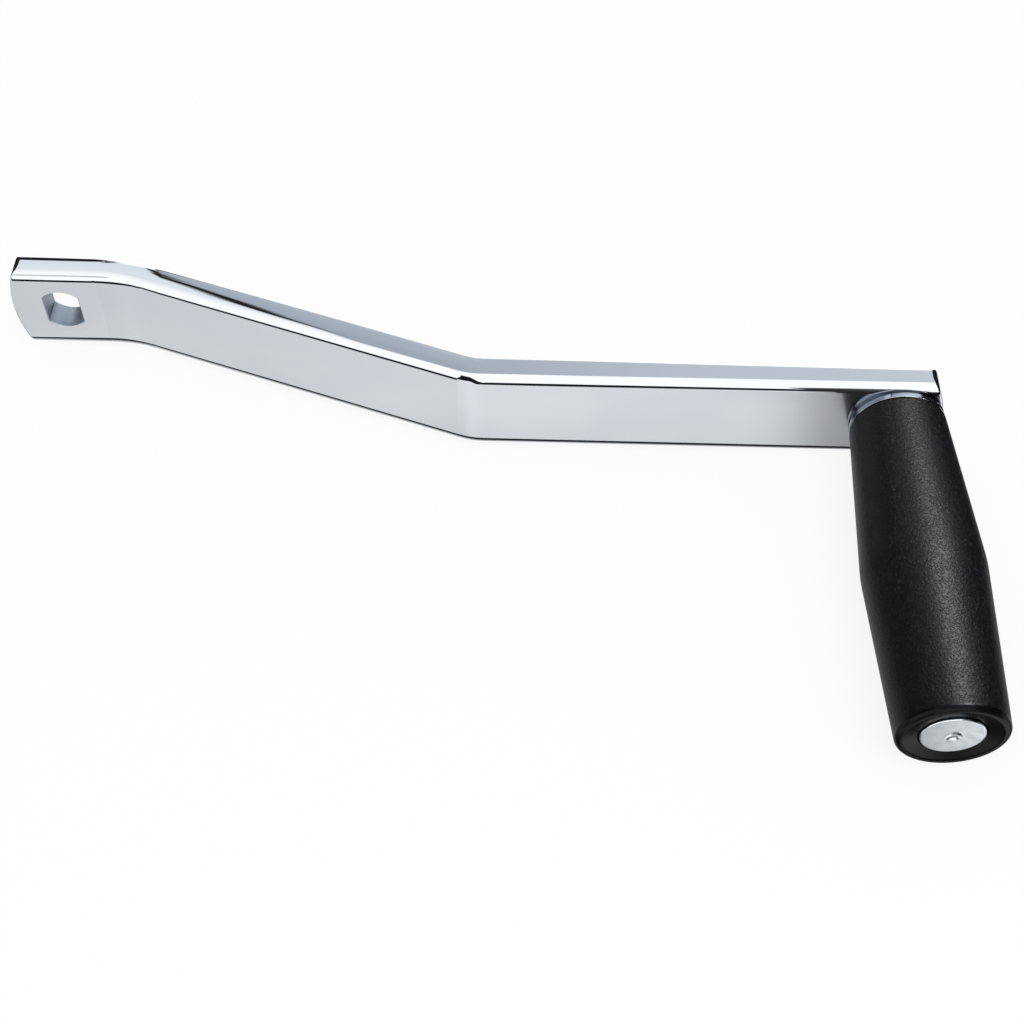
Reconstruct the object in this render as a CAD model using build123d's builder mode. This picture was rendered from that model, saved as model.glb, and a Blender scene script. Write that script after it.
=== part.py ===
"""Crank handle: a joggled flat-bar arm with a double-D shaft hole and a revolving grip.

Frame, in millimetres.  The origin is the centre of the shaft hole on the hub's back
face, the face that seats against the shoulder of the driven shaft.  +X runs along the
arm to the grip, +Z is up, across the width of the bar, and the shaft and the grip's pin
both lie along Y.  The arm steps out towards -Y, away from the machine, and the grip
points the same way.
"""
import os
from math import sqrt

from build123d import *

# ---------------------------------------------------------------- driving dimensions
# Bar stock of the arm
bar_width = 29.0          # across the broad face, along Z, over the rounded edges
bar_thickness = 8.0
edge_flat = 0.8           # left along the middle of each long edge, between its rounds

# Run of the arm, on the bar's middle line
hub_run = 18.4            # shaft axis to the first bend's corner
joggle_run = 98.0         # first corner to the second, along X
arm_offset = 34.0         # how far the grip's end stands out from the hub's
crank_radius = 230.0      # shaft axis to pin axis
hub_bend_radius = 44.0    # middle line of the bar, bend near the hub
grip_bend_radius = 18.0   # middle line of the bar, bend near the grip

# Cut ends of the arm, shallow arcs across the width
hub_end_radius = 40.0
pin_end_radius = 28.0
end_corner_radius = 5.5   # where those arcs turn into the long edges
end_edge_break = 0.6      # radius round both cut ends, polished before plating
hub_reach = 13.9          # shaft axis to the hub's apex
pin_reach = 11.8          # pin axis to the other apex

# Double-D shaft hole
shaft_hole_diameter = 13.2
shaft_hole_flats = 9.8
shaft_hole_chamfer = 0.25

# Thrust collar between the arm and the grip
collar_diameter = 25.2
collar_thickness = 2.0
collar_chamfer = 0.7      # on the arm's side
collar_edge_break = 0.3   # on the grip's side

# Moulded grip
grip_length = 93.0
grip_root_diameter = 25.4  # at the collar
grip_belly_diameter = 31.0
grip_tip_diameter = 26.6
grip_belly_at = 47.0       # from the root to the belly
grip_root_radius = 0.8
grip_belly_blend = 40.0
grip_tip_radius = 1.3
dish_diameter = 23.0       # shallow cone in the tip, round the pin's head
dish_step = 0.25
dish_depth = 1.0           # below the tip, at the head's pocket
dish_lip_radius = 0.15

# Grip pin
pin_diameter = 10.0
head_diameter = 15.3
head_thickness = 3.0
head_stand = 0.6          # head above the bottom of the dish
head_edge_break = 0.35
centre_mark_diameter = 4.0
centre_mark_depth = 0.6
tenon_diameter = 8.0
rivet_sink_depth = 1.0    # 45 degree countersink that the riveted end fills
rivet_head_diameter = 13.0
rivet_head_height = 1.8

# Clearances
pin_clearance = 0.08      # radial, pin in the grip's bore
end_float = 0.2           # axial, grip against the collar and under the pin's head
head_clearance = 0.4      # radial, head in its pocket
tenon_clearance = 0.04    # radial, tenon in the collar and the arm

# ---------------------------------------------------------------- derived places
mid_y = -bar_thickness / 2
seat_back_y = -arm_offset                      # back face of the grip's end of the arm
seat_front_y = seat_back_y - bar_thickness     # front face, under the collar

tenon_hole_radius = tenon_diameter / 2 + tenon_clearance
pin_bore_radius = pin_diameter / 2 + pin_clearance
pocket_radius = head_diameter / 2 + head_clearance

# Along the pin, measured from the arm's front face towards the grip's tip
grip_root = collar_thickness + end_float
grip_belly = grip_root + grip_belly_at
grip_tip = grip_root + grip_length
dish_floor = grip_tip - dish_depth
head_top = dish_floor + head_stand
head_seat = head_top - head_thickness
pocket_floor = head_seat - end_float

# Half sections of the turned and moulded pieces: x is the radius, y runs along the pin
turning_plane = Plane(
    origin=(crank_radius, seat_front_y, 0), x_dir=(1, 0, 0), z_dir=(0, 0, -1)
)
pin_axis = Axis((crank_radius, seat_front_y, 0), (0, -1, 0))


def end_arc_depth(radius: float, half_height: float) -> float:
    """How far an arc of that radius falls back from its apex at that half height."""
    return radius - sqrt(radius**2 - half_height**2)


# ---------------------------------------------------------------- crank arm
# The bar is swept along its middle line, a little past both ends, and then cut to the
# outline of its broad face, whose long sides clear the bar so that only the ends cut.
cut_allowance = 5.0
outline_clearance = 0.8
outline_half_height = bar_width / 2 + outline_clearance
bar_edge_radius = (bar_thickness - edge_flat) / 2
hub_end_x = -hub_reach
pin_end_x = crank_radius + pin_reach

with BuildPart() as crank_arm:
    with BuildLine() as middle_line:
        FilletPolyline(
            (hub_end_x - cut_allowance, mid_y),
            (hub_run, mid_y),
            (hub_run + joggle_run, mid_y - arm_offset),
            (pin_end_x + cut_allowance, mid_y - arm_offset),
            radius=(hub_bend_radius, grip_bend_radius),
        )
    start_plane = Plane(origin=middle_line.line @ 0, x_dir=(0, 1, 0), z_dir=(1, 0, 0))
    with BuildSketch(start_plane):
        RectangleRounded(bar_thickness, bar_width, bar_edge_radius)
    sweep(path=middle_line.line)

    # Both ends are cut to an arc about a centre on the bar's middle line
    with BuildSketch(Plane.XZ) as outline:
        top = outline_half_height
        with BuildLine():
            left = hub_end_x + end_arc_depth(hub_end_radius, top)
            right = pin_end_x - end_arc_depth(pin_end_radius, top)
            ThreePointArc((left, -top), (hub_end_x, 0), (left, top))
            Line((left, top), (right, top))
            ThreePointArc((right, top), (pin_end_x, 0), (right, -top))
            Line((right, -top), (left, -top))
        make_face()
        fillet(outline.vertices(), end_corner_radius)
    extrude(amount=2 * (arm_offset + bar_thickness), both=True, mode=Mode.INTERSECT)
    fillet(crank_arm.edges(Select.LAST), end_edge_break)

    # Double-D shaft hole, its flats across the arm
    with BuildSketch(Plane.XZ):
        Circle(shaft_hole_diameter / 2)
        Rectangle(shaft_hole_flats, shaft_hole_diameter, mode=Mode.INTERSECT)
    extrude(amount=2 * bar_thickness, both=True, mode=Mode.SUBTRACT)
    chamfer(crank_arm.edges(Select.LAST).filter_by(Plane.XZ), shaft_hole_chamfer)

    # Hole for the pin's tenon, countersunk at the back for the riveted end
    with Locations(Plane(origin=(crank_radius, seat_back_y, 0), z_dir=(0, 1, 0))):
        CounterSinkHole(
            radius=tenon_hole_radius,
            counter_sink_radius=tenon_hole_radius + rivet_sink_depth,
            counter_sink_angle=90,
        )

# ---------------------------------------------------------------- collar
with BuildPart() as collar:
    with BuildSketch(turning_plane):
        with Locations((tenon_hole_radius, 0)):
            Rectangle(
                collar_diameter / 2 - tenon_hole_radius,
                collar_thickness,
                align=(Align.MIN, Align.MIN),
            )
    revolve(axis=pin_axis)
    rims = collar.edges().filter_by(GeomType.CIRCLE).sort_by(SortBy.RADIUS)[-2:]
    chamfer(rims.sort_by(Axis.Y)[-1], collar_chamfer)
    fillet(rims.sort_by(Axis.Y)[0], collar_edge_break)

# ---------------------------------------------------------------- grip
with BuildPart() as grip:
    with BuildSketch(turning_plane) as grip_section:
        with BuildLine():
            Polyline(
                (pin_bore_radius, grip_root),
                (grip_root_diameter / 2, grip_root),
                (grip_belly_diameter / 2, grip_belly),
                (grip_tip_diameter / 2, grip_tip),
                (dish_diameter / 2, grip_tip),
                (dish_diameter / 2, grip_tip - dish_step),
                (pocket_radius, dish_floor),
                (pocket_radius, pocket_floor),
                (pin_bore_radius, pocket_floor),
                close=True,
            )
        make_face()
        for corner, radius in (
            ((grip_root_diameter / 2, grip_root), grip_root_radius),
            ((grip_belly_diameter / 2, grip_belly), grip_belly_blend),
            ((grip_tip_diameter / 2, grip_tip), grip_tip_radius),
            ((dish_diameter / 2, grip_tip), dish_lip_radius),
        ):
            fillet(grip_section.vertices().sort_by_distance(corner)[0], radius)
    revolve(axis=pin_axis)

# ---------------------------------------------------------------- grip pin
# From the riveted end behind the arm, over the shoulder on the collar, to the head
with BuildPart() as grip_pin:
    with BuildSketch(turning_plane) as pin_section:
        rivet_top = -bar_thickness - rivet_head_height
        mark_floor = head_top - centre_mark_depth
        tenon_radius = tenon_diameter / 2
        with BuildLine():
            TangentArc(
                (0, rivet_top), (rivet_head_diameter / 2, -bar_thickness), tangent=(1, 0)
            )
            Polyline(
                (rivet_head_diameter / 2, -bar_thickness),
                (tenon_radius + rivet_sink_depth, -bar_thickness),
                (tenon_radius, rivet_sink_depth - bar_thickness),
                (tenon_radius, collar_thickness),
                (pin_diameter / 2, collar_thickness),
                (pin_diameter / 2, head_seat),
                (head_diameter / 2, head_seat),
                (head_diameter / 2, head_top),
                (centre_mark_diameter / 2, head_top),
            )
            TangentArc(
                (0, mark_floor), (centre_mark_diameter / 2, head_top), tangent=(1, 0)
            )
            Line((0, mark_floor), (0, rivet_top))
        make_face()
        head_rim = pin_section.vertices().sort_by_distance((head_diameter / 2, head_top))
        fillet(head_rim[0], head_edge_break)
    revolve(axis=pin_axis)

os.makedirs("parts", exist_ok=True)
for name, piece in (
    ("crank_arm", crank_arm),
    ("collar", collar),
    ("grip", grip),
    ("grip_pin", grip_pin),
):
    piece.part.label = name
    export_step(piece.part, f"parts/{name}.step")
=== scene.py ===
# %% [markdown]
# # A crank handle: chrome bar, riveted collar and a revolving grip
#
# A crank handle like this one is four pieces.  A flat steel bar is bent into a shallow
# joggle and chromed, a hand grip of black moulded plastic turns on a steel pin, and a
# collar keeps the grip off the bar.  The exact shapes are already in the packed model,
# so this lesson gives them their finishes, builds a small studio around them and
# places the camera.
#
# The first cell loads the model and keeps the size of its box, because the finishes
# and the studio are all placed from it.

# %% Load the model
from math import cos, degrees, radians, sin, tau

import bpy
from mathutils import Matrix, Vector


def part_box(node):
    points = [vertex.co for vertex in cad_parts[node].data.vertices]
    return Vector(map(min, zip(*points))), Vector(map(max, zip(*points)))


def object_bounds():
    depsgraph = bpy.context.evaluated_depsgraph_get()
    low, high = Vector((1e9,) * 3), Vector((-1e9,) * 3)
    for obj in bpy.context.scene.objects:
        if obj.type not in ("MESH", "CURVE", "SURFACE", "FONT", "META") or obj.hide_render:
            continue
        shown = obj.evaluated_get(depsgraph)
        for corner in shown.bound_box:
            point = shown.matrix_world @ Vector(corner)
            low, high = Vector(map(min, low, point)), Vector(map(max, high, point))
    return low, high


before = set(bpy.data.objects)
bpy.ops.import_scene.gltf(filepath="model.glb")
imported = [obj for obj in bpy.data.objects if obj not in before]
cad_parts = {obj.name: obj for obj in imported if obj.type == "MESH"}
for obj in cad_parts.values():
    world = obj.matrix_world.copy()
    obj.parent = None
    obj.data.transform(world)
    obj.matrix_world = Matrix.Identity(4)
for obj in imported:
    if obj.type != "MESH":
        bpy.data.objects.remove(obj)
cad_box = [[float(value) for value in corner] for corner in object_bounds()]
print("nodes:", sorted(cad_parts))
print("box in metres:", cad_box)

# %% [markdown]
# ## Measures that the finishes use
#
# A finish often changes at a real border: the grain of a moulded grip stops at its rim,
# and plating is duller in a corner or a hole.  Such borders are measured from the boxes
# of the nodes or from the model's own axes, which pass through the shaft hole.
# Everything is in metres, and `mm` keeps the small numbers readable.

# %% Measures from the frame
mm = 0.001

grip_low, grip_high = (Vector(corner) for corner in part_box("grip"))
grip_middle = (grip_low + grip_high) / 2
grip_tip_y = grip_low.y
middle = (Vector(cad_box[0]) + Vector(cad_box[1])) / 2
floor_z = cad_box[0][2]
print(f"grip {1000 * (grip_high.y - grip_low.y):.1f} mm long, floor at {1000 * floor_z:.2f} mm")

# %% [markdown]
# ## Writing shader maths as Python
#
# A procedural material is a graph of nodes, and its maths is easier to read as an
# expression than as a list of links.  `Wire` wraps one output of a node.  Adding,
# multiplying or raising a wire to a power makes the Math node and returns a new wire,
# and the reflected forms let a plain number stand on the left, as in `1 - mask`.
# Every other node comes from one method, `node`, which sets the node's own settings
# first and then feeds its sockets.

# %% The wire class
def plug(socket, value):
    """Links a wire to an input socket, or sets the socket to a plain value."""
    if isinstance(value, Wire):
        socket.id_data.links.new(value.socket, socket)
    else:
        socket.default_value = value


class Wire:
    """One output of a shader node, on which Python's operators add Math nodes."""

    def __init__(self, socket):
        self.socket = socket
        self.tree = socket.id_data

    @staticmethod
    def node(tree, kind, settings=None, feeds=None, out=0):
        """Adds a node, sets it up, feeds its sockets and returns one output as a wire."""
        made = tree.nodes.new(kind)
        for name, value in (settings or {}).items():
            if name == "stops":
                Wire.set_stops(made.color_ramp, value)
            else:
                setattr(made, name, value)
        for name, value in (feeds or {}).items():
            plug(made.inputs[name], value)
        return Wire(made.outputs[out]) if made.outputs else made

    @staticmethod
    def set_stops(ramp, stops):
        """Gives a colour ramp its stops, a list of (place, colour)."""
        while len(ramp.elements) < len(stops):
            ramp.elements.new(1.0)
        for element, (place, colour) in zip(ramp.elements, stops):
            element.position = place
            element.color = colour

    def maths(self, operation, *values):
        """A Math node on the values, each a wire or a number."""
        feeds = dict(enumerate(values))
        return Wire.node(self.tree, "ShaderNodeMath", {"operation": operation}, feeds)

    def __add__(self, other):
        return self.maths("ADD", self, other)

    def __sub__(self, other):
        return self.maths("SUBTRACT", self, other)

    def __rsub__(self, other):
        return self.maths("SUBTRACT", other, self)

    def __mul__(self, other):
        return self.maths("MULTIPLY", self, other)

    def __truediv__(self, other):
        return self.maths("DIVIDE", self, other)

    def __pow__(self, other):
        return self.maths("POWER", self, other)

    def __abs__(self):
        return self.maths("ABSOLUTE", self)

    __radd__ = __add__
    __rmul__ = __mul__

    def above(self, low, high):
        """0 below `low`, 1 above `high`, with an eased slope between."""
        settings = {"interpolation_type": "SMOOTHSTEP"}
        feeds = {"Value": self, "From Min": low, "From Max": high}
        return self.node(self.tree, "ShaderNodeMapRange", settings, feeds)

    def at_least(self, other):
        """The larger of this wire and `other`."""
        return self.maths("MAXIMUM", self, other)

    def at_most(self, other):
        """The smaller of this wire and `other`."""
        return self.maths("MINIMUM", self, other)

    def sine(self):
        return self.maths("SINE", self)

    def angle_to(self, other):
        """The angle in degrees whose sine goes as this wire and cosine as `other`."""
        return self.maths("ARCTAN2", self, other) * degrees(1.0)

    def parts(self):
        """The x, y and z of a vector, as three wires."""
        split = self.node(self.tree, "ShaderNodeSeparateXYZ", feeds={"Vector": self})
        return [Wire(socket) for socket in split.socket.node.outputs]


print("operators ready:", [name for name in vars(Wire) if name.startswith("__r")])

# %% [markdown]
# ## Colours, places and textures
#
# Colours and vectors can't go through a Math node, which would turn them grey, so a
# Mix node blends two colours and Vector Math stretches or shifts a place.  The
# object's own coordinates are used for every texture: they are in metres and move
# with the piece, so the grain stays on the grip while it turns.

# %% Helpers for colours and places
def srgb(red, green, blue):
    """A colour given as it looks on a screen, 0 to 255, as the linear colour of a socket."""
    scaled = (value / 255 for value in (red, green, blue))
    linear = [v / 12.92 if v <= 0.04045 else ((v + 0.055) / 1.055) ** 2.4 for v in scaled]
    return (*linear, 1.0)


def blend(mask, low, high):
    """The colour `low` where the mask is 0 and `high` where it is 1."""
    settings = {"data_type": "RGBA"}
    feeds = {"Factor": mask, 6: low, 7: high}
    return Wire.node(mask.tree, "ShaderNodeMix", settings, feeds, out=2)


def place_on(tree):
    """The place on the object, in metres."""
    return Wire.node(tree, "ShaderNodeTexCoord", out="Object")


def facing_on(tree):
    """The direction that the surface faces, in the object's own axes."""
    return Wire.node(tree, "ShaderNodeTexCoord", out="Normal")


def stretch(place, x=1.0, y=1.0, z=1.0):
    """The place with its axes multiplied; below 1 draws a texture out along that axis."""
    settings = {"operation": "MULTIPLY"}
    return Wire.node(place.tree, "ShaderNodeVectorMath", settings, {0: place, 1: (x, y, z)})


def noise(place, size, detail=2.0, roughness=0.5, distortion=0.0):
    """Soft noise from 0 to 1, with features about `size` metres across."""
    feeds = {
        "Vector": place,
        "Scale": 1 / size,
        "Detail": detail,
        "Roughness": roughness,
        "Distortion": distortion,
    }
    return Wire.node(place.tree, "ShaderNodeTexNoise", feeds=feeds)


def bump(height, depth, below=None):
    """The surface normal for a height from 0 to 1 that stands for `depth` metres."""
    feeds = {"Height": height, "Strength": 1.0, "Distance": depth}
    if below is not None:
        feeds["Normal"] = below
    return Wire.node(height.tree, "ShaderNodeBump", feeds=feeds)


def new_material(name):
    """A new material, its node tree and its Principled shader, ready to be fed."""
    material = bpy.data.materials.new(name)
    material.use_nodes = True
    shader = material.node_tree.nodes["Principled BSDF"]
    return material, material.node_tree, shader


def feed(shader, **values):
    """Feeds the shader's sockets, named with underscores for spaces."""
    for name, value in values.items():
        plug(shader.inputs[name.replace("_", " ")], value)


def cleared_tree(owner):
    """The node tree of a new material or world, without its default nodes."""
    owner.use_nodes = True
    owner.node_tree.nodes.clear()
    return owner.node_tree


def give_finish(node, material):
    """Puts the material in every slot of a node of the model."""
    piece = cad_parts[node]
    for slot in piece.material_slots:
        slot.material = material
    print(f"{node}: {material.name}, {len(material.node_tree.nodes)} nodes")


print("helpers ready")

# %% [markdown]
# ## Bright chrome on the bar
#
# The bar is ground, polished along its length and then plated, so chrome copies what
# the polishing left.  Its broad faces keep fine streaks along the bar and a haze that
# blurs what they mirror, while the rolled edges stay clear.  At the hub the grinding
# leant a little, which left a fine crease along the edge.  Bumps carry the streaks and
# the crease, the roughness carries the haze, and plating is duller inside the hole.

# %% Grinding at the hub
hub_slope = 0.15
lean_fades = 10 * mm
lean_ends = 30 * mm
crease_height = 12.75 * mm
crease_width = 0.16 * mm
crease_depth = 0.14 * mm
crease_fades = (12 * mm, 17 * mm)


def hub_lean(along):
    """A height, in metres, that tilts the hub's faces and levels out over the first bend."""
    reach = along.at_most(lean_ends)
    past = (reach - lean_fades).at_least(0.0)
    return hub_slope * (reach - past * past / (2 * (lean_ends - lean_fades)))


def hub_crease(along, height):
    """A fine crease along the hub's rounded edges, left where grinding changed its angle."""
    line = 1 - abs(abs(height) - crease_height).above(0.0, crease_width)
    return line * (1 - along.above(*crease_fades))


print("the hub's ground faces level out", round(1000 * lean_ends), "mm along the bar")

# %% Chrome of the bar
hole_reach = (6.9 * mm, 7.3 * mm)
facing_shaft = (0.8, 0.95)
edge_facing = (0.01, 0.09)
grip_end = (190 * mm, 226 * mm)
streak_size = 0.8 * mm
streak_depth = 0.0008 * mm
cloud_size = 16 * mm
face_haze = 0.13
grip_end_haze = 0.05
cloud_haze = 0.01
hole_haze = 0.42
edge_clearness = 0.8


def in_shaft_hole(along, height, forward):
    """1 on the wall of the shaft hole, which is near its axis and doesn't face along it."""
    from_axis = (along * along + height * height) ** 0.5
    return (1 - from_axis.above(*hole_reach)) * (1 - abs(forward).above(*facing_shaft))


def bar_chrome():
    """Hazy chrome on the broad faces, clear on the rolled edges and dull in the hole."""
    material, tree, shader = new_material("bar_chrome")
    place = place_on(tree)
    along, _, height = place.parts()
    _, forward, up = facing_on(tree).parts()
    in_hole = in_shaft_hole(along, height, forward)
    streaks = noise(stretch(place, x=0.04), streak_size, detail=3.0)
    cloud = noise(stretch(place, x=0.5), cloud_size, detail=2.0).above(0.3, 0.7)

    haze = face_haze + grip_end_haze * along.above(*grip_end)
    clear = 1 - edge_clearness * abs(up).above(*edge_facing)
    polish = blend(cloud, srgb(212, 215, 220), srgb(209, 213, 219))
    ground = bump(streaks, streak_depth, below=bump(hub_lean(along), 1.0))
    feed(
        shader,
        Base_Color=blend(in_hole, polish, srgb(184, 193, 203)),
        Metallic=1.0,
        Roughness=haze * clear + cloud_haze * cloud + hole_haze * in_hole,
        Normal=bump(hub_crease(along, height), -crease_depth, below=ground),
    )
    return material


give_finish("crank_arm", bar_chrome())

# %% [markdown]
# ## Turned collar
#
# The collar is turned from bar and plated with the arm, so its shine is the same but
# its marks run round it.  The distance from the pin's axis gives the rings.  Its colour
# is darkened in the corner against the bar, which is painted shade, and on the side
# towards the hub, which is a painted dark reflection.

# %% Chrome of the collar
collar_face_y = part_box("collar")[0][1]
# Where the painted shade in the corner against the bar begins.
corner_shade_begins = (collar_face_y + 1.0 * mm, collar_face_y + 1.5 * mm)
# Where the painted dark reflection on the side towards the hub ends.
hub_reflection_ends = (grip_middle.x - 8 * mm, grip_middle.x - 2 * mm)
ring_pitch = 0.3 * mm
ring_rise = 0.25 * mm
ring_depth = 0.001 * mm


def from_pin_axis(place):
    """The distance from the axis that the grip turns on."""
    x, _, z = place.parts()
    across = x - grip_middle.x
    return (across * across + z * z) ** 0.5


def collar_chrome():
    """Turned and plated steel, with painted shade in the corner against the bar and a painted
    dark reflection towards the hub.
    """
    material, tree, shader = new_material("collar_chrome")
    place = place_on(tree)
    x, along, _ = place.parts()
    turning = noise(stretch(place, y=8.0), 1.2 * mm, detail=2.0)
    rings = (from_pin_axis(place) * (tau / ring_pitch) + along * (tau / ring_rise)).sine()

    bright = blend(turning, srgb(208, 214, 222), srgb(190, 197, 207))
    # Painted dark reflection: the colour is darker on the side towards the hub.
    painted_hub_reflection = 1 - x.above(*hub_reflection_ends)
    bright = blend(painted_hub_reflection, bright, srgb(118, 127, 141))
    # Painted shade: the colour is darker in the corner against the bar.
    painted_corner_shade = along.above(*corner_shade_begins)
    feed(
        shader,
        Base_Color=blend(painted_corner_shade, bright, srgb(92, 100, 112)),
        Metallic=1.0,
        Roughness=0.08 + 0.06 * turning,
        Normal=bump(rings, ring_depth),
    )
    return material


give_finish("collar", collar_chrome())

# %% [markdown]
# ## Zinc-bright pin head
#
# The pin's head is faced on a lathe and zinc plated: whiter and softer than chrome,
# with faint rings round its centre and small cloudy patches.

# %% Zinc of the pin
facing_pitch = 0.35 * mm
facing_depth = 0.0012 * mm
cloudy_size = 2.2 * mm
cloudy_depth = 0.003 * mm


def pin_zinc():
    """Faced and zinc-plated steel, with faint rings and cloudy patches."""
    material, tree, shader = new_material("pin_zinc")
    place = place_on(tree)
    rings = (from_pin_axis(place) * (tau / facing_pitch)).sine()
    clouds = noise(place, cloudy_size, detail=4.0, roughness=0.6)
    cloudy = clouds.above(0.4, 0.7)
    feed(
        shader,
        Base_Color=blend(cloudy, srgb(232, 235, 240), srgb(225, 230, 236)),
        Metallic=1.0,
        Roughness=0.22 + 0.05 * cloudy,
        Normal=bump(rings, facing_depth, below=bump(clouds, cloudy_depth)),
    )
    return material


give_finish("grip_pin", pin_zinc())

# %% [markdown]
# ## Grained black plastic
#
# The grip is moulded, and its mould was etched with a fine leather grain: small
# pebbles parted by short wandering creases, about a millimetre apart.  The rim at the
# tip was left polished.  Fine noise gives the pebbles, and the creases follow the line
# where a coarser, twisted noise passes through its middle value.

# %% Plastic of the grip
grain_begins = (grip_tip_y + 1.0 * mm, grip_tip_y + 2.2 * mm)
crease_spacing = 1.3 * mm
crease_share = 0.06
pebble_size = 0.65 * mm
grain_depth = 0.12 * mm


def leather_grain(place):
    """Pebbles, from 0 to 0.7, with wandering creases cut 0.3 into them."""
    wander = noise(place, crease_spacing, detail=1.0, distortion=1.5)
    creases = 1 - abs(wander - 0.5).above(0.0, crease_share)
    pebbles = noise(place, pebble_size, detail=1.0)
    return 0.7 * pebbles - 0.3 * creases


def grip_plastic():
    """Black plastic with a leather grain, smooth and glossier at the tip."""
    material, tree, shader = new_material("grip_plastic")
    place = place_on(tree)
    _, along, _ = place.parts()
    grained = along.above(*grain_begins)
    feed(
        shader,
        Base_Color=blend(grained, srgb(8, 8, 9), srgb(11, 11, 13)),
        Roughness=0.26 + 0.16 * grained,
        Specular_IOR_Level=0.12,
        Normal=bump(leather_grain(place) * grained, grain_depth),
    )
    return material


give_finish("grip", grip_plastic())

# %% [markdown]
# ## The studio: floor
#
# A plain floor stands for the paper sweep of a product studio.  It is lit like any
# surface, so it keeps the handle's shadow, and for the camera a share of plain white is
# mixed in, so that the paper reads as white without more light on the handle.
# Mirror-like rays pass through it to the drawn studio, which has its own floor.

# %% Floor
floor_width = 4.0
paper_colour = (0.92, 0.92, 0.92, 1.0)
paper_share = 0.88


def add_plate(name, centre, width, depth):
    """A flat rectangle, facing up, made from its four corners."""
    corners = [
        (centre.x + side * width / 2, centre.y + end * depth / 2, centre.z)
        for side, end in ((-1, -1), (1, -1), (1, 1), (-1, 1))
    ]
    mesh = bpy.data.meshes.new(name)
    mesh.from_pydata(corners, [], [(0, 1, 2, 3)])
    plate = bpy.data.objects.new(name, mesh)
    bpy.context.scene.collection.objects.link(plate)
    return plate


def paper():
    """Matt white paper, with plain white mixed in where the camera sees it."""
    material = bpy.data.materials.new("studio_paper")
    tree = cleared_tree(material)
    lit = Wire.node(tree, "ShaderNodeBsdfDiffuse", feeds={"Color": paper_colour})
    glow = Wire.node(tree, "ShaderNodeEmission", feeds={"Strength": 1.0})
    share = paper_share * Wire.node(tree, "ShaderNodeLightPath", out="Is Camera Ray")
    mixed = Wire.node(tree, "ShaderNodeMixShader", feeds={0: share, 1: lit, 2: glow})
    Wire.node(tree, "ShaderNodeOutputMaterial", feeds={"Surface": mixed})
    return material


floor_centre = Vector((middle.x, middle.y, floor_z))
floor = add_plate("studio_floor", floor_centre, floor_width, floor_width)
floor.data.materials.append(paper())
floor.visible_glossy = False
print("floor under the handle at z =", round(floor_z, 5))

# %% [markdown]
# ## The studio: what the chrome sees
#
# Chrome has no colour of its own, so its look is the room.  Light for matt surfaces is
# an even white from all round, and mirror-like rays see a drawn studio instead.  Two
# numbers name a direction in it: `turn`, in degrees over the handle, which is 0 at the
# front, 90 overhead, 180 at the back and -90 or 270 straight down, and `side`, from -1
# at the left to 1 at the right.  A ramp along one of them gives a colour, or the place
# of a border, as a list of stops that is easy to change.

# %% Ramps over directions
turns = (-90, 270)
sides = (-1, 1)
chrome_colour = srgb(211, 214, 219)
black = (0.012, 0.013, 0.015, 1.0)
white = (1.5, 1.5, 1.5, 1.0)


def shown(red, green, blue):
    """The brightness of a studio wall that the bar's chrome shows as this colour."""
    pairs = zip(srgb(red, green, blue)[:3], chrome_colour[:3])
    return (*(wanted / chrome for wanted, chrome in pairs), 1.0)


def grey(level):
    """A faintly blue grey of the studio, as the chrome shows it."""
    return shown(0.985 * level, level, min(1.02 * level + 1, 255))


def ramp(value, span, stops):
    """A colour that follows `value` over its span, with stops given in the span's units."""
    low, high = span
    placed = [((place - low) / (high - low), colour) for place, colour in stops]
    share = (value - low) / (high - low)
    return Wire.node(value.tree, "ShaderNodeValToRGB", {"stops": placed}, {"Fac": share})


def border(value, span, stops, border_span):
    """A number within `border_span` that follows `value`, carried by the ramp as a grey."""
    low, high = border_span
    greys = [(place, ((number - low) / (high - low),) * 3 + (1.0,)) for place, number in stops]
    return ramp(value, span, greys) * (high - low) + low


def border_over_side(side, stops):
    """The turn, in degrees, at which a border lies for each place from left to right."""
    return border(side, sides, stops, turns)


def border_over_turn(turn, stops):
    """The side, from -1 to 1, at which a border lies for each turn."""
    return border(turn, turns, stops, sides)


print("a wall shown as 200:", [round(value, 3) for value in grey(200)])

# %% [markdown]
# The front of the room, from the floor up: a floor that darkens towards the foot of a
# pale card, the card that the broad faces show, a dark gap that draws the thin line
# along the front edge, and a white wall.  Pairs of numbers are where a border starts
# and ends, as a turn or a side.

# %% Front of the room
floor_tones = [
    (-90, grey(160)),
    (-84, grey(112)),
    (-77, grey(64)),
    (-70, grey(32)),
    (-60, grey(32)),
    (225, grey(205)),
    (245, grey(185)),
    (270, grey(160)),
]
card_starts = [
    (-0.8, -82),
    (-0.6, -70),
    (-0.53, -64.5),
    (-0.45, -61.5),
    (-0.35, -56.5),
    (-0.1, -52.5),
    (0.235, -52.5),
    (0.262, -67),
]
card_tones = [
    (-0.6, grey(206)),
    (-0.54, grey(211)),
    (-0.45, grey(224)),
    (-0.1, grey(230)),
    (0.0, grey(225)),
    (0.12, grey(221)),
    (0.185, grey(220)),
    (0.215, grey(136)),
    (0.23, grey(12)),
    (0.262, grey(12)),
    (0.272, grey(230)),
]
hub_card_tone = grey(202)
hub_card_turns = (-59, -53)
hub_card_sides = (-0.45, -0.4)
gap_starts = [(-0.48, -45), (-0.45, -34), (-0.3, -28), (-0.12, -45), (0.07, -39), (0.24, -34)]
gap_ends = [(-0.49, -29), (-0.46, 14), (-0.3, 12), (-0.1, -28), (0.07, -22), (0.24, -17)]
card_blur = 1.5
gap_fade_in = 2.5
gap_fade_out = 1.5
wall_blur = 4


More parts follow.
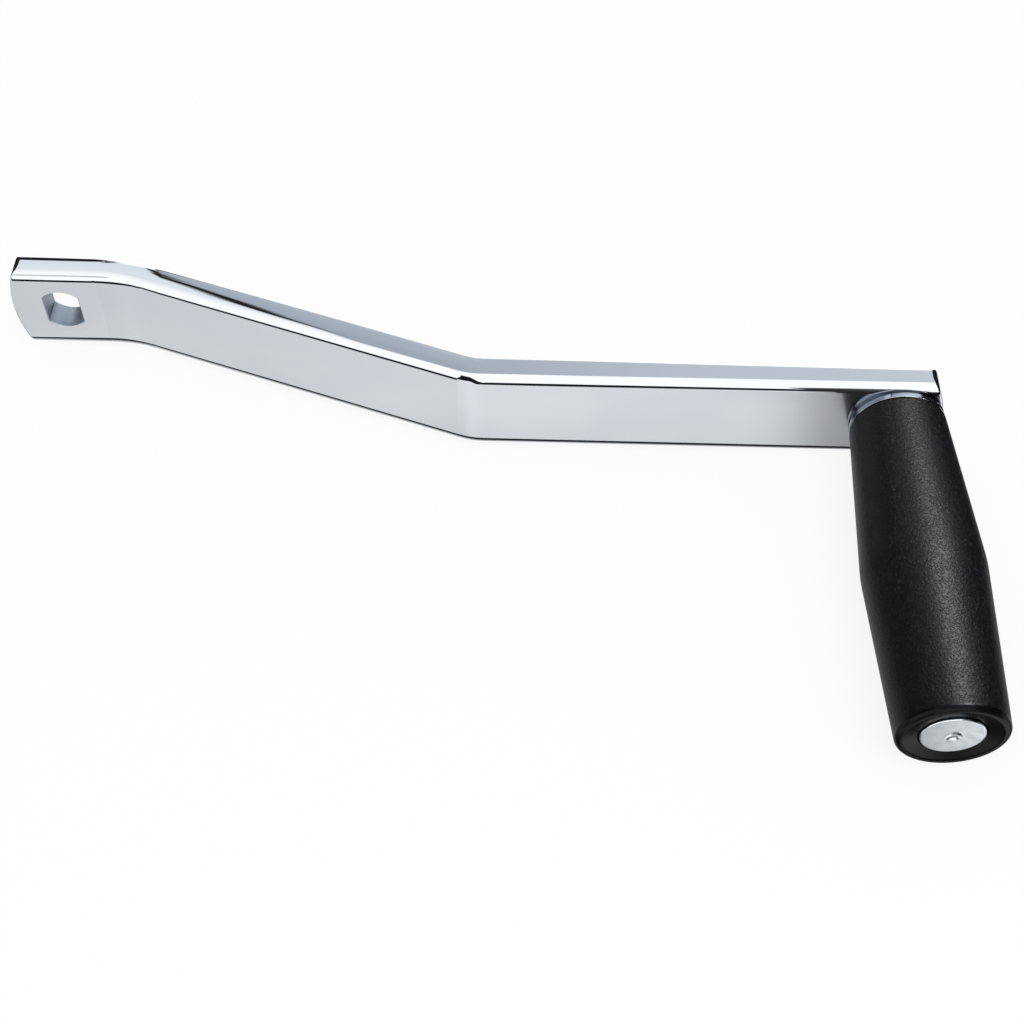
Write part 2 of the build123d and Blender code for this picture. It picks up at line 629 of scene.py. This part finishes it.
def front_of_room(turn, side, floor_tone):
    """The floor, the card, the dark gap and the white wall in front of the handle."""
    on_hub_card = turn.above(*hub_card_turns) * (1 - side.above(*hub_card_sides))
    card = blend(on_hub_card, ramp(side, sides, card_tones), hub_card_tone)
    card_low = border_over_side(side, card_starts)
    gap_low = border_over_side(side, gap_starts)
    gap_high = border_over_side(side, gap_ends)

    room = blend(turn.above(card_low - card_blur, card_low + card_blur), floor_tone, card)
    room = blend(turn.above(gap_low - gap_fade_in, gap_low + gap_fade_out), room, black)
    return blend(turn.above(gap_high, gap_high + wall_blur), room, white)


print("floor, card and gap stops:", len(floor_tones), len(card_tones), len(gap_starts))

# %% [markdown]
# Overhead hangs a long grey panel.  It begins where the white wall ends, and at its
# left border a black rim parts it from a pale screen.  The rim is what draws the dark
# curve across the first bend.

# %% Above the handle
panel_starts = [(-0.53, 50), (-0.3, 51), (0.065, 56), (0.23, 66), (0.35, 72)]
panel_tones = [
    (-0.3, shown(158, 168, 180)),
    (0.0, shown(168, 177, 188)),
    (0.15, shown(186, 194, 204)),
    (0.3, shown(193, 200, 209)),
]
panel_fade_in = 4
panel_fade_out = 3
screen_edges = [(51, -0.53), (86, -0.43), (114, -0.3), (143, -0.22), (180, -0.14), (220, -0.12)]
screen_tones = [
    (25, white),
    (48, grey(246)),
    (78, shown(219, 226, 234)),
    (150, shown(213, 221, 230)),
]
screen_foot = (19, 25)
screen_blur = 0.01
rim_foot = (62, 80)
rim_width = 0.038
rim_core = 0.2
far_out_sides = (-0.62, -0.55)
far_out_turns = (70, 100)


def above_handle(room, turn, side):
    """Hangs the panel, the screen and its black rim over the front of the room."""
    panel_start = border_over_side(side, panel_starts)
    on_panel = turn.above(panel_start - panel_fade_in, panel_start + panel_fade_out)
    room = blend(on_panel, room, ramp(side, sides, panel_tones))

    screen_edge = border_over_turn(turn, screen_edges)
    on_screen = 1 - side.above(screen_edge - screen_blur, screen_edge + screen_blur)
    screen = ramp(turn, turns, screen_tones)
    room = blend(on_screen * turn.above(*screen_foot), room, screen)
    rim = 1 - abs(side - screen_edge).above(rim_core * rim_width, rim_width)
    room = blend(rim * turn.above(*rim_foot), room, black)

    far_out = (1 - side.above(*far_out_sides)) * turn.above(*far_out_turns)
    return blend(far_out, room, black)


print("panel tones:", len(panel_tones), "and screen tones:", len(screen_tones))

# %% [markdown]
# Behind the handle the panel runs down to the floor in the middle, with pale walls on
# both sides of it.  The far left and far right stay black, because they are what the
# flanks of the grip show.

# %% Back of the room
panel_ends = [(-0.3, 150), (-0.16, 160), (-0.1, 220), (0.05, 205), (0.12, 190), (0.25, 178)]
panel_end_blur = 3
left_sides = (-0.36, -0.3)
left_turns = (148, 156)
right_edges = [(-40, 0.44), (60, 0.46), (90, 0.62), (148, 0.62), (168, 0.44)]
right_blur = 0.03
right_turns = (-40, -20)
floor_behind = (221, 228)
floor_below = (-90, -80)
dark_floor_sides = (0.22, 0.26)
dark_floor_turns = (-72, -67)


def back_of_room(room, turn, side, floor_tone):
    """Adds what stands behind the handle, the black sides and the rest of the floor."""
    panel_end = border_over_side(side, panel_ends)
    past_panel = turn.above(panel_end - panel_end_blur, panel_end + panel_end_blur)
    room = blend(past_panel, room, white)

    far_left = (1 - side.above(*left_sides)) * turn.above(*left_turns)
    right_edge = border_over_turn(turn, right_edges)
    far_right = side.above(right_edge - right_blur, right_edge + right_blur)
    far_right = far_right * turn.above(*right_turns)
    room = blend(far_left.at_least(far_right), room, black)

    on_floor = turn.above(*floor_behind).at_least(1 - turn.above(*floor_below))
    room = blend(on_floor, room, floor_tone)
    dark_floor = side.above(*dark_floor_sides) * (1 - turn.above(*dark_floor_turns))
    return blend(dark_floor, room, black)


print("panel end stops:", len(panel_ends), "and right edge stops:", len(right_edges))

# %% World
even_colour = (0.8, 0.8, 0.8, 1.0)
background_colour = (1.0, 1.0, 1.0, 1.0)


def studio_world():
    """The drawn studio for mirror-like rays, white for the camera, even light for the rest."""
    world = bpy.data.worlds.new("studio")
    tree = cleared_tree(world)
    side, back, up = Wire.node(tree, "ShaderNodeTexCoord", out="Generated").parts()
    turn = back.angle_to(up) + 90

    floor_tone = ramp(turn, turns, floor_tones)
    room = front_of_room(turn, side, floor_tone)
    room = above_handle(room, turn, side)
    room = back_of_room(room, turn, side, floor_tone)

    is_glossy = Wire.node(tree, "ShaderNodeLightPath", out="Is Glossy Ray")
    is_camera = Wire.node(tree, "ShaderNodeLightPath", out="Is Camera Ray")
    even = blend(is_camera, even_colour, background_colour)
    colour = blend(is_glossy, even, room)
    light = Wire.node(tree, "ShaderNodeBackground", feeds={"Color": colour, "Strength": 1.0})
    Wire.node(tree, "ShaderNodeOutputWorld", feeds={"Surface": light})
    world.cycles.sampling_method = "NONE"
    return world


bpy.context.scene.world = studio_world()
print("world:", len(bpy.context.scene.world.node_tree.nodes), "nodes")

# %% [markdown]
# ## The studio: two soft lamps
#
# One large lamp, above and to the front, gives the floor a soft shadow and a little
# direction to the light.  Mirror-like rays don't see it, because the world already
# draws what they see.  A small second lamp above and behind the handle does the
# opposite: it adds only shine, which makes the grain of the grip sparkle along its top.
# Light linking keeps it off the chrome, where it would show as a hard bright line.

# %% Lamps
soft_lamp_offset = Vector((0.25, -0.5, 1.1))
soft_lamp_width = 0.9
soft_lamp_watts = 5.0
shine_lamp_offset = 0.5 * Vector((0.24, 0.45, 0.86)).normalized()
shine_lamp_width = 0.2
shine_lamp_watts = 5.8
shine_lamp_colour = (0.93, 0.95, 1.0)


def add_lamp(name, target, offset, width, watts):
    """A square lamp that stands off from its target and points at it."""
    light = bpy.data.lights.new(name, "AREA")
    light.shape = "SQUARE"
    light.size = width
    light.energy = watts
    lamp = bpy.data.objects.new(name, light)
    place = target + offset
    lamp.location = place
    lamp.rotation_euler = (target - place).to_track_quat("-Z", "Y").to_euler()
    bpy.context.scene.collection.objects.link(lamp)
    print(name, round(offset.length, 2), "m away")
    return lamp


def light_only(lamp, node):
    """Keeps the lamp's light on one node of the model, through light linking."""
    lit = bpy.data.collections.new(f"lit_by_{lamp.name}")
    lit.objects.link(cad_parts[node])
    lamp.light_linking.receiver_collection = lit


soft_lamp = add_lamp("soft_lamp", middle, soft_lamp_offset, soft_lamp_width, soft_lamp_watts)
soft_lamp.visible_glossy = False
shine_lamp = add_lamp(
    "shine_lamp", grip_middle, shine_lamp_offset, shine_lamp_width, shine_lamp_watts
)
shine_lamp.visible_diffuse = False
shine_lamp.data.color = shine_lamp_colour
light_only(shine_lamp, "grip")

# %% [markdown]
# ## Camera
#
# The camera stands close in front of the handle and looks down at it, a little over
# fifty degrees below the level.  Its place comes from the point it aims at, a direction
# and a distance, and a small roll turns the picture.

# %% Camera
camera_aim = Vector((127.69, -25.0, -67.11)) * mm
camera_heading = 0.2542
camera_pitch = 53.145
camera_roll = 1.5511
camera_distance = 462.49 * mm
camera_lens = 52.281
nearest_seen = 0.01


def looking(heading, pitch):
    """The way the camera looks: heading turns right of +Y, and pitch looks down."""
    level = cos(radians(pitch))
    return Vector(
        (sin(radians(heading)) * level, cos(radians(heading)) * level, -sin(radians(pitch)))
    )


def add_camera(aim, forward, roll, distance):
    """A camera at a distance from the point that it aims at."""
    camera = bpy.data.objects.new("camera", bpy.data.cameras.new("camera"))
    place = Matrix.Translation(aim - forward * distance)
    turn = forward.to_track_quat("-Z", "Y").to_matrix().to_4x4()
    camera.matrix_world = place @ turn @ Matrix.Rotation(radians(roll), 4, "Z")
    bpy.context.scene.collection.objects.link(camera)
    return camera


camera_forward = looking(camera_heading, camera_pitch)
camera = add_camera(camera_aim, camera_forward, camera_roll, camera_distance)
camera.data.lens = camera_lens
camera.data.clip_start = nearest_seen
bpy.context.scene.camera = camera
print("camera at", [round(1000 * value, 2) for value in camera.matrix_world.translation], "mm")
print("turned", [round(degrees(value), 3) for value in camera.matrix_world.to_euler()])

# %% [markdown]
# ## Finish
#
# The picture is shown without a tone curve, so that colours come out as they are
# written.

# %% View
bpy.context.scene.view_settings.view_transform = "Standard"
